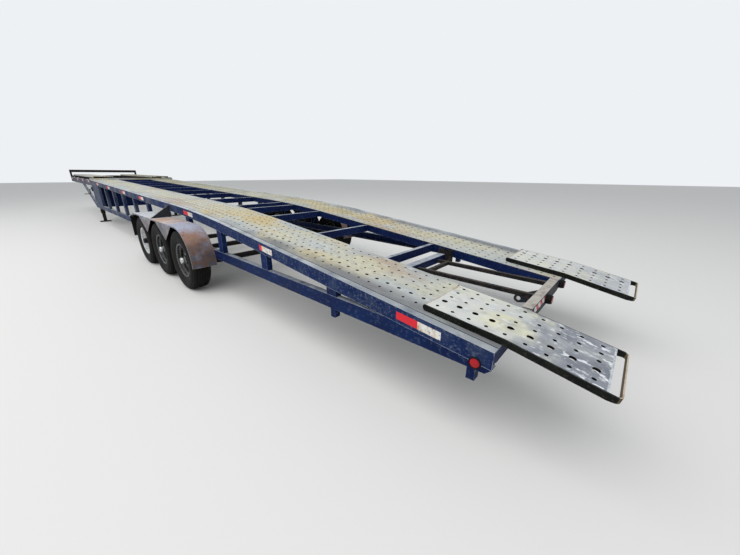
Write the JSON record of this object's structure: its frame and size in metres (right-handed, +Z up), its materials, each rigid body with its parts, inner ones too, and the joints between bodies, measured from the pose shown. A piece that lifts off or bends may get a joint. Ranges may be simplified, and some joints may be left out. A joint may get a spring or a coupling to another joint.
{
  "type": "car carrier trailer",
  "caption": "wedge car-carrier trailer with open runways on truss side frames, rolling wheels under long fenders, a raised neck with coupler, landing legs and pull-out ramps",
  "frame": {"origin": "on the ground, in the middle of the trailer's overall length and width", "axes": "+X the trailer's right, +Y forward (towards the towing vehicle), +Z up"},
  "size_m": [2.59, 16.6398, 1.4828],
  "materials": {
    "frame_paint": "worn navy paint",
    "galvanised_plank": "weathered galvanised, stained",
    "ramp_plank": "worn bright galvanised",
    "black_steel": "worn matt black",
    "fender_primer": "peeled primer with rust",
    "flap_rubber": "matt",
    "tyre": "matt, dusty",
    "rim_silver": "satin silver",
    "rim_black": "worn black",
    "tape_red": "retroreflective tape, red",
    "tape_white": "retroreflective tape, white",
    "lens_red": "clear red lens",
    "chrome_cap": "chromed, dusty"
  },
  "bodies": {
    "chassis": {"upper_rail_left": "frame_paint", "upper_rail_right": "frame_paint", "lower_rail_left": "frame_paint", "lower_rail_right": "frame_paint", "side_posts_left": "frame_paint", "side_posts_right": "frame_paint", "bulkhead_left": "frame_paint", "bulkhead_right": "frame_paint", "closing_plate": "frame_paint", "inner_rail_left": "frame_paint", "inner_rail_right": "frame_paint", "cross_members": "frame_paint", "runway_left": "galvanised_plank", "runway_right": "galvanised_plank", "front_beam": "galvanised_plank", "neck_rail_left": "frame_paint", "neck_rail_right": "frame_paint", "neck_cross_members": "black_steel", "neck_planks": "galvanised_plank", "front_header": "black_steel", "coupler": "black_steel", "landing_leg_left": "black_steel", "landing_leg_right": "black_steel", "landing_crank": "black_steel", "axle_rear": "black_steel", "axle_middle": "black_steel", "axle_front": "black_steel", "suspension_left": "black_steel", "suspension_right": "black_steel", "fender_left": "fender_primer", "fender_right": "fender_primer", "mud_flap_left": "flap_rubber", "mud_flap_right": "flap_rubber", "rear_beam": "galvanised_plank", "rear_braces": "black_steel"},
    "wheel_rear_left": {"tyre_rear_left": "tyre", "rim_rear_left": "rim_black"},
    "wheel_rear_right": {"tyre_rear_right": "tyre", "rim_rear_right": "rim_black"},
    "wheel_middle_left": {"tyre_middle_left": "tyre", "rim_middle_left": "rim_black"},
    "wheel_middle_right": {"tyre_middle_right": "tyre", "rim_middle_right": "rim_black"},
    "wheel_front_left": {"tyre_front_left": "tyre", "rim_front_left": "rim_silver"},
    "wheel_front_right": {"tyre_front_right": "tyre", "rim_front_right": "rim_silver"},
    "ramp_left": {"ramp_left": "ramp_plank"},
    "ramp_right": {"ramp_right": "ramp_plank"}
  },
  "joints": [
    {"name": "wheel_spin_rear_left", "type": "hinge", "parent": "chassis", "child": "wheel_rear_left", "pos_m": [-1.18, -4.1901, 0.36], "axis": [1, 0, 0], "continuous": true},
    {"name": "wheel_spin_rear_right", "type": "hinge", "parent": "chassis", "child": "wheel_rear_right", "pos_m": [1.18, -4.1901, 0.36], "axis": [1, 0, 0], "continuous": true},
    {"name": "wheel_spin_middle_left", "type": "hinge", "parent": "chassis", "child": "wheel_middle_left", "pos_m": [-1.18, -3.3501, 0.36], "axis": [1, 0, 0], "continuous": true},
    {"name": "wheel_spin_middle_right", "type": "hinge", "parent": "chassis", "child": "wheel_middle_right", "pos_m": [1.18, -3.3501, 0.36], "axis": [1, 0, 0], "continuous": true},
    {"name": "wheel_spin_front_left", "type": "hinge", "parent": "chassis", "child": "wheel_front_left", "pos_m": [-1.18, -2.5101, 0.36], "axis": [1, 0, 0], "continuous": true},
    {"name": "wheel_spin_front_right", "type": "hinge", "parent": "chassis", "child": "wheel_front_right", "pos_m": [1.18, -2.5101, 0.36], "axis": [1, 0, 0], "continuous": true},
    {"name": "ramp_slide_left", "type": "slide", "parent": "chassis", "child": "ramp_left", "axis": [0, -0.9946, -0.1034], "range_m": [0, 0.3]},
    {"name": "ramp_slide_right", "type": "slide", "parent": "chassis", "child": "ramp_right", "axis": [0, -0.9946, -0.1034], "range_m": [0, 0.3]}
  ]
}
